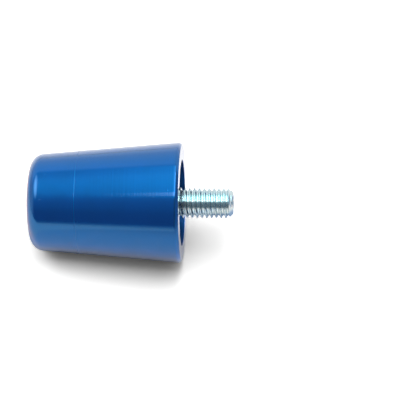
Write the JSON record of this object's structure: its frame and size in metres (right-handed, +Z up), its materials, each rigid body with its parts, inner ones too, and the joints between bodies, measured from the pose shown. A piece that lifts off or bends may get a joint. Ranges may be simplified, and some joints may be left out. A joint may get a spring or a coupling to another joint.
{
  "type": "bar end weight",
  "caption": "Tapered turned aluminium bar end weight, hollow at the wide end for the handlebar tube, with a sunk socket head cap screw through it.",
  "frame": {"origin": "centre of the rim plane, where the recess opens and the grip's end is met", "axes": "+X along the axis out of the recess, the way the thread points; the nose points to -X; +Z up, as fitted on a level handlebar"},
  "size_m": [0.0527, 0.0314, 0.0314],
  "materials": {
    "blue_anodised": "polished, blue anodised",
    "zinc_plated": "bright zinc plated"
  },
  "bodies": {
    "root": {"weight_body": "blue_anodised", "cap_screw": "zinc_plated"}
  },
  "joints": []
}
